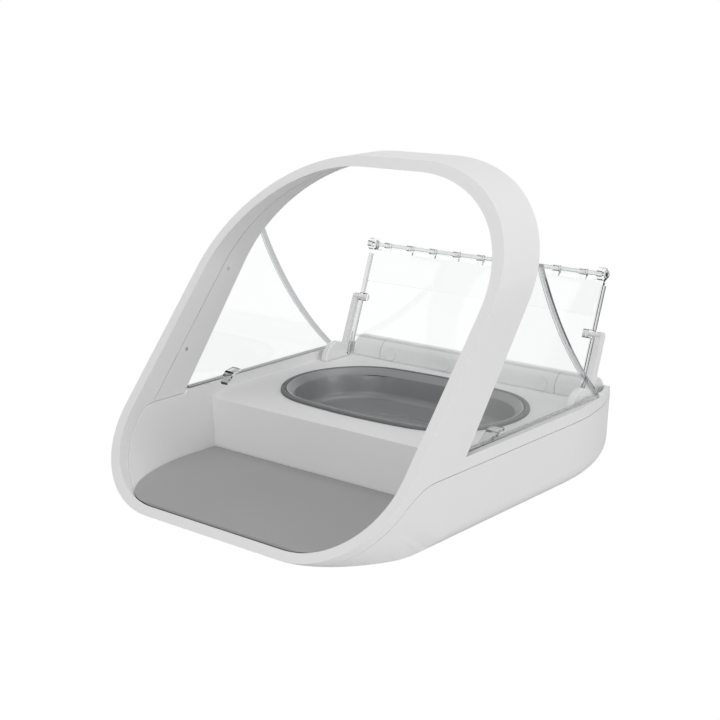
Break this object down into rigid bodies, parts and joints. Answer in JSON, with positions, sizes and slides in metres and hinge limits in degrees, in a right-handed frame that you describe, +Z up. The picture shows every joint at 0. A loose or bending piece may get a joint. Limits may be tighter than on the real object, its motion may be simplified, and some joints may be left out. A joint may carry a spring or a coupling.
{
  "type": "pet feeder",
  "caption": "White arch-shaped microchip pet feeder with a grey mat, an oval grey bowl, clear side wings and a folding clear lid driven from behind the bowl.",
  "frame": {"origin": "middle of the footprint at the surface it stands on", "axes": "X to the right seen from the arch, Y from the arch to the back, Z up"},
  "size_m": [0.23, 0.318, 0.1935],
  "materials": {
    "shell_white": "smooth satin white",
    "lining_white": "smooth satin white",
    "base_white": "smooth satin white",
    "deck_white": "smooth satin white",
    "mat_grey": "matt grey elastomer",
    "bowl_grey": "satin grey",
    "seal_dark": "dark soft rubber",
    "barrel_white": "smooth satin white",
    "cap_white": "smooth satin white",
    "lid_clear": "clear moulded plastic",
    "wing_clear": "clear moulded plastic",
    "rod_clear": "clear moulded plastic",
    "arm_white": "smooth satin white",
    "pin_white": "smooth satin white",
    "button_grey": "soft-touch grey",
    "lens_clear": "translucent",
    "board_green": "solder mask",
    "chip_black": "moulded black",
    "coil_copper": "enamelled wire",
    "steel": "bright steel",
    "motor_steel": "plated steel",
    "cell_sleeve": "printed sleeve, plain",
    "foot_rubber": "soft rubber",
    "link_nylon": "natural nylon"
  },
  "bodies": {
    "housing": {"arch_front_shell": "shell_white", "arch_rear_cover": "lining_white", "arch_screws": "steel", "reader_coil": "coil_copper", "base_shell": "base_white", "deck_housing": "deck_white", "bowl_seal": "seal_dark", "barrel_housing": "barrel_white", "barrel_sleeve_left": "barrel_white", "barrel_sleeve_right": "barrel_white", "screw_caps": "cap_white", "side_wing_left": "wing_clear", "side_wing_right": "wing_clear", "wing_clips": "wing_clear", "status_lens": "lens_clear", "control_board": "board_green", "board_components": "chip_black", "battery_cells": "cell_sleeve", "battery_contacts": "steel", "battery_door_left": "base_white", "battery_door_right": "base_white", "door_screws": "steel", "rubber_feet": "foot_rubber", "gear_motor": "motor_steel", "housing_screws": "steel"},
    "mat": {"mat": "mat_grey"},
    "bowl": {"bowl": "bowl_grey"},
    "lid": {"lid_arm_left": "arm_white", "lid_arm_right": "arm_white", "arm_pins": "pin_white", "lid_rear_panel": "lid_clear", "lid_hinge_rod": "rod_clear"},
    "flap": {"lid_front_panel": "lid_clear"},
    "drive": {"drive_shaft": "steel"},
    "link": {"link_rod": "link_nylon"},
    "button_left": {"button_left": "button_grey"},
    "button_middle": {"button_middle": "button_grey"},
    "button_right": {"button_right": "button_grey"}
  },
  "joints": [
    {"name": "lid_hinge", "type": "hinge", "parent": "housing", "child": "lid", "pos_m": [0, 0.0585, 0.0415], "axis": [-1, 0, 0], "range_deg": [-111.4, 0]},
    {"name": "flap_fold", "type": "hinge", "parent": "lid", "child": "flap", "pos_m": [0, 0.09406, 0.11854], "axis": [-1, 0, 0], "range_deg": [0, 174.4]},
    {"name": "drive_turn", "type": "hinge", "parent": "housing", "child": "drive", "pos_m": [0, 0.0845, 0.0443], "axis": [-1, 0, 0], "range_deg": [-111.4, 0]},
    {"name": "link_swing", "type": "hinge", "parent": "drive", "child": "link", "pos_m": [0, 0.07706, 0.03923], "axis": [-1, 0, 0], "range_deg": [0, 111.4]},
    {"name": "mat_lift", "type": "slide", "parent": "housing", "child": "mat", "axis": [0, 0, 1], "range_m": [0, 0.04]},
    {"name": "bowl_lift", "type": "slide", "parent": "housing", "child": "bowl", "axis": [0, 0, 1], "range_m": [0, 0.04]},
    {"name": "button_left_press", "type": "slide", "parent": "housing", "child": "button_left", "axis": [0, -0.2937, -0.9559], "range_m": [0, 0.0008], "stiffness_N_per_m": 300},
    {"name": "button_middle_press", "type": "slide", "parent": "housing", "child": "button_middle", "axis": [0, -0.2937, -0.9559], "range_m": [0, 0.0008], "stiffness_N_per_m": 300},
    {"name": "button_right_press", "type": "slide", "parent": "housing", "child": "button_right", "axis": [0, -0.2937, -0.9559], "range_m": [0, 0.0008], "stiffness_N_per_m": 300}
  ],
  "couplings": [
    {"joint": "flap_fold", "follows": "lid_hinge", "ratio": -1.5655},
    {"joint": "drive_turn", "follows": "lid_hinge", "ratio": 1},
    {"joint": "link_swing", "follows": "lid_hinge", "ratio": -1}
  ]
}
